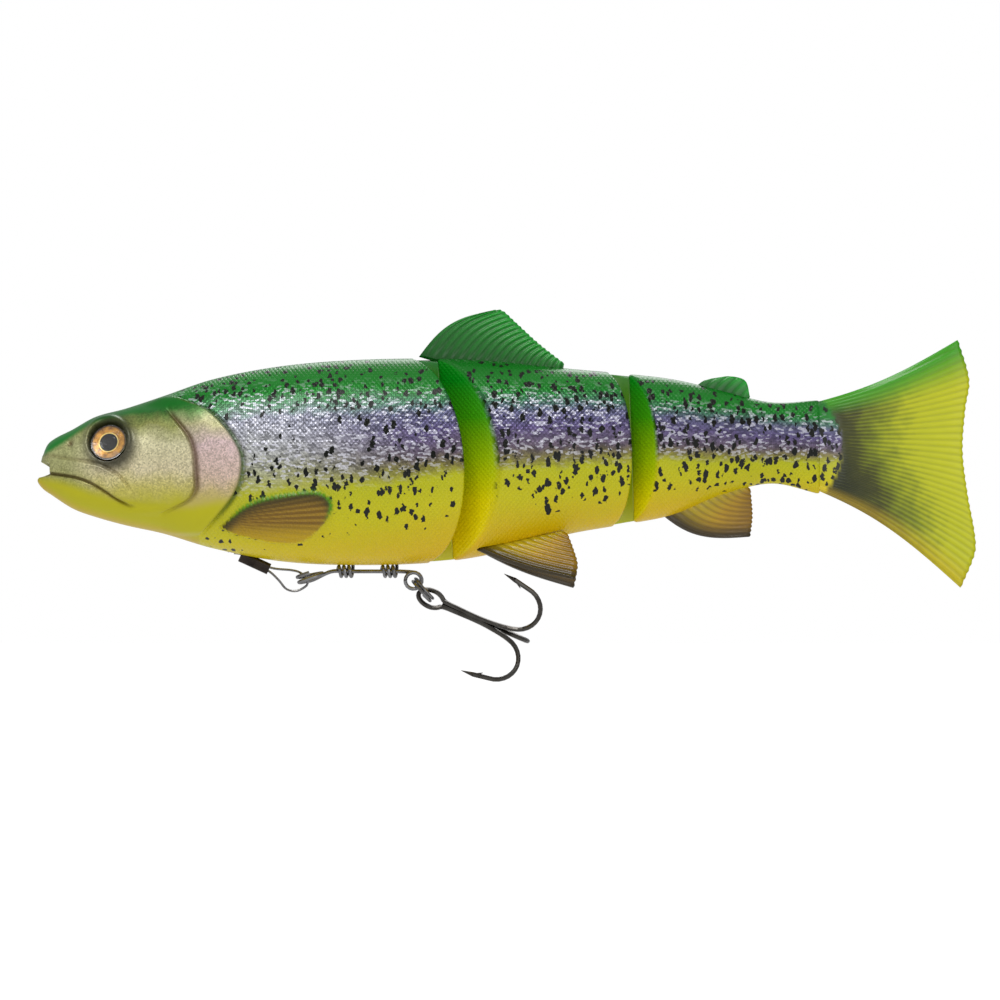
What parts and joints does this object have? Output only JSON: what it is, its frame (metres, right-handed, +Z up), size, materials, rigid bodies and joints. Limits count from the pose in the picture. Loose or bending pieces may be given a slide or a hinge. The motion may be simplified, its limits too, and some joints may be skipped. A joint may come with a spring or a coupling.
{
  "type": "swimbait",
  "caption": "Jointed soft trout lure with a line-through belly rig, soft tail and treble hook.",
  "frame": {"origin": "where the line enters the mouth", "axes": "+X from nose to tail, +Y to the fish's right flank, +Z up to its back"},
  "size_m": [0.2, 0.0276, 0.079],
  "materials": {
    "skin": "glossy",
    "dorsal_green": "glossy",
    "fin_brown": "glossy",
    "tail_yellow": "glossy",
    "web": "satin",
    "mesh_cloth": "woven",
    "ballast": "dull",
    "tube_plastic": "smooth",
    "eye_foil": "foil",
    "clear_resin": "clear",
    "steel": "bright",
    "black_nickel": "black nickel",
    "crimp": "dark"
  },
  "bodies": {
    "front": {"front_segment": "skin", "front_hinge_web": "web", "front_mesh_ribbon": "mesh_cloth", "front_ballast": "ballast", "left_eye_iris": "eye_foil", "left_eye_lens": "clear_resin", "right_eye_iris": "eye_foil", "right_eye_lens": "clear_resin", "line_tube": "tube_plastic", "leader_wire": "steel"},
    "middle": {"middle_segment": "skin", "rear_hinge_web": "web", "middle_mesh_ribbon": "mesh_cloth", "middle_ballast": "ballast", "dorsal_fin": "dorsal_green", "left_pelvic_fin": "fin_brown", "right_pelvic_fin": "fin_brown"},
    "rear": {"rear_segment": "skin", "rear_mesh_ribbon": "mesh_cloth", "adipose_fin": "dorsal_green", "anal_fin": "fin_brown"},
    "tail": {"tail_fin": "tail_yellow"},
    "trace": {"trace_loop": "steel", "crimp_sleeve": "crimp"},
    "harness": {"rig_wire": "steel", "front_belly_pin": "steel", "rear_belly_pin": "steel"},
    "ring": {"split_ring": "steel"},
    "treble": {"treble_hook": "black_nickel"}
  },
  "joints": [
    {"name": "front_body_joint", "type": "hinge", "parent": "front", "child": "middle", "pos_m": [0.0807, 0, 0], "axis": [-0.0778, 0, 0.997], "range_deg": [-20, 20], "stiffness_Nm_per_rad": 0.02, "deforming": ["front_hinge_web"]},
    {"name": "rear_body_joint", "type": "hinge", "parent": "middle", "child": "rear", "pos_m": [0.1211, 0, 0], "axis": [-0.034, 0, 0.9994], "range_deg": [-25, 25], "stiffness_Nm_per_rad": 0.01, "deforming": ["rear_hinge_web"]},
    {"name": "tail_flex", "type": "hinge", "parent": "rear", "child": "tail", "pos_m": [0.164, 0, 0], "axis": [0, 0, 1], "range_deg": [-30, 30], "stiffness_Nm_per_rad": 0.006},
    {"name": "trace_swing", "type": "hinge", "parent": "front", "child": "trace", "pos_m": [0.04011, 0, -0.01834], "axis": [0, 1, 0], "range_deg": [0, 25]},
    {"name": "harness_swing", "type": "hinge", "parent": "trace", "child": "harness", "pos_m": [0.05286, 0, -0.02363], "axis": [0, 1, 0], "range_deg": [0, 30]},
    {"name": "ring_swing", "type": "hinge", "parent": "harness", "child": "ring", "pos_m": [0.07747, 0, -0.02377], "axis": [0, 1, 0], "range_deg": [0, 40]},
    {"name": "treble_swing", "type": "hinge", "parent": "ring", "child": "treble", "pos_m": [0.08143, 0, -0.02773], "axis": [0, 1, 0], "range_deg": [0, 60]}
  ]
}
